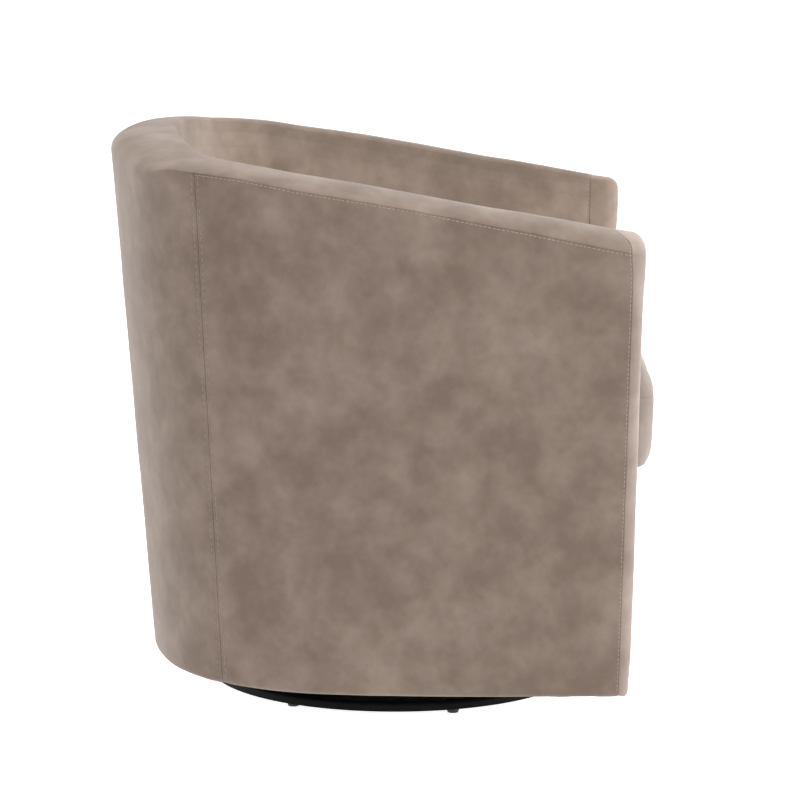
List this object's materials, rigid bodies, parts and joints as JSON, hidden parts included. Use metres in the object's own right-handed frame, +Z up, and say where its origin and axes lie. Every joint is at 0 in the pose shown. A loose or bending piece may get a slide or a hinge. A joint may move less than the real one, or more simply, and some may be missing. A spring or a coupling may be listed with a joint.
{
  "type": "swivel club chair",
  "caption": "Upholstered barrel armchair with a sloping padded rim, a loose seat cushion and a round black base on which the tub swivels.",
  "frame": {"origin": "on the floor, on the swivel axis", "axes": "+Z up along the swivel axis, -Y to the chair's front at rest, -X to the sitter's right"},
  "size_m": [0.6912, 0.6941, 0.7426],
  "materials": {
    "upholstery": "suede-like microfibre with a short nap",
    "foam": "polyurethane foam",
    "hardboard": "hardboard",
    "plywood": "plywood",
    "hardwood": "planed hardwood",
    "felt": "needled felt",
    "dust_cloth": "non-woven cloth",
    "zip": "woven tape",
    "black_steel": "satin black",
    "black_plastic": "matte",
    "zinc_steel": "zinc plated",
    "spring_steel": "oiled steel",
    "nylon": "matte"
  },
  "bodies": {
    "base": {"base_pan": "black_steel", "glides": "black_plastic", "swivel_spacer": "plywood", "lower_race": "zinc_steel", "race_screws": "zinc_steel", "race_nuts": "zinc_steel", "pivot_bolt": "zinc_steel", "pivot_washer": "nylon", "pivot_locknut": "zinc_steel"},
    "ball_ring": {"ball_cage": "nylon", "bearing_balls": "zinc_steel"},
    "tub": {"arm_foam_left": "foam", "arm_foam_right": "foam", "arm_front_left": "upholstery", "arm_front_right": "upholstery", "back_foam": "foam", "bottom_board": "plywood", "corner_blocks": "hardwood", "deck_felt": "felt", "dust_cover": "dust_cloth", "front_apron": "plywood", "front_cover": "upholstery", "inner_backing": "hardboard", "inner_cover_back": "upholstery", "inner_cover_left": "upholstery", "inner_cover_right": "upholstery", "outer_backing_back": "hardboard", "outer_backing_left": "hardboard", "outer_backing_right": "hardboard", "outer_cover_back": "upholstery", "outer_cover_left": "upholstery", "outer_cover_right": "upholstery", "pivot_bush": "nylon", "plate_screws": "zinc_steel", "post_back": "hardwood", "post_front_left": "hardwood", "post_front_right": "hardwood", "post_rear_left": "hardwood", "post_rear_right": "hardwood", "post_screws": "zinc_steel", "post_side_left": "hardwood", "post_side_right": "hardwood", "race_rivets": "zinc_steel", "rim_cover": "upholstery", "rim_padding": "foam", "seat_frame": "plywood", "seat_frame_screws": "zinc_steel", "seat_springs": "spring_steel", "spring_clips": "spring_steel", "spring_tie_wires": "spring_steel", "swivel_plate": "zinc_steel", "top_rail": "plywood", "upper_race": "zinc_steel"},
    "seat_cushion": {"cushion_cover": "upholstery", "cushion_base_cover": "upholstery", "cushion_core": "foam", "cushion_zip": "zip"}
  },
  "joints": [
    {"name": "swivel", "type": "hinge", "parent": "base", "child": "tub", "pos_m": [0, 0, 0.048], "axis": [0, 0, 1], "continuous": true},
    {"name": "cage_turn", "type": "hinge", "parent": "base", "child": "ball_ring", "pos_m": [0, 0, 0.046], "axis": [0, 0, 1], "continuous": true},
    {"name": "cushion_lift", "type": "slide", "parent": "tub", "child": "seat_cushion", "axis": [0, 0, 1], "range_m": [0, 0.45]}
  ],
  "couplings": [
    {"joint": "cage_turn", "follows": "swivel", "ratio": 0.5}
  ]
}
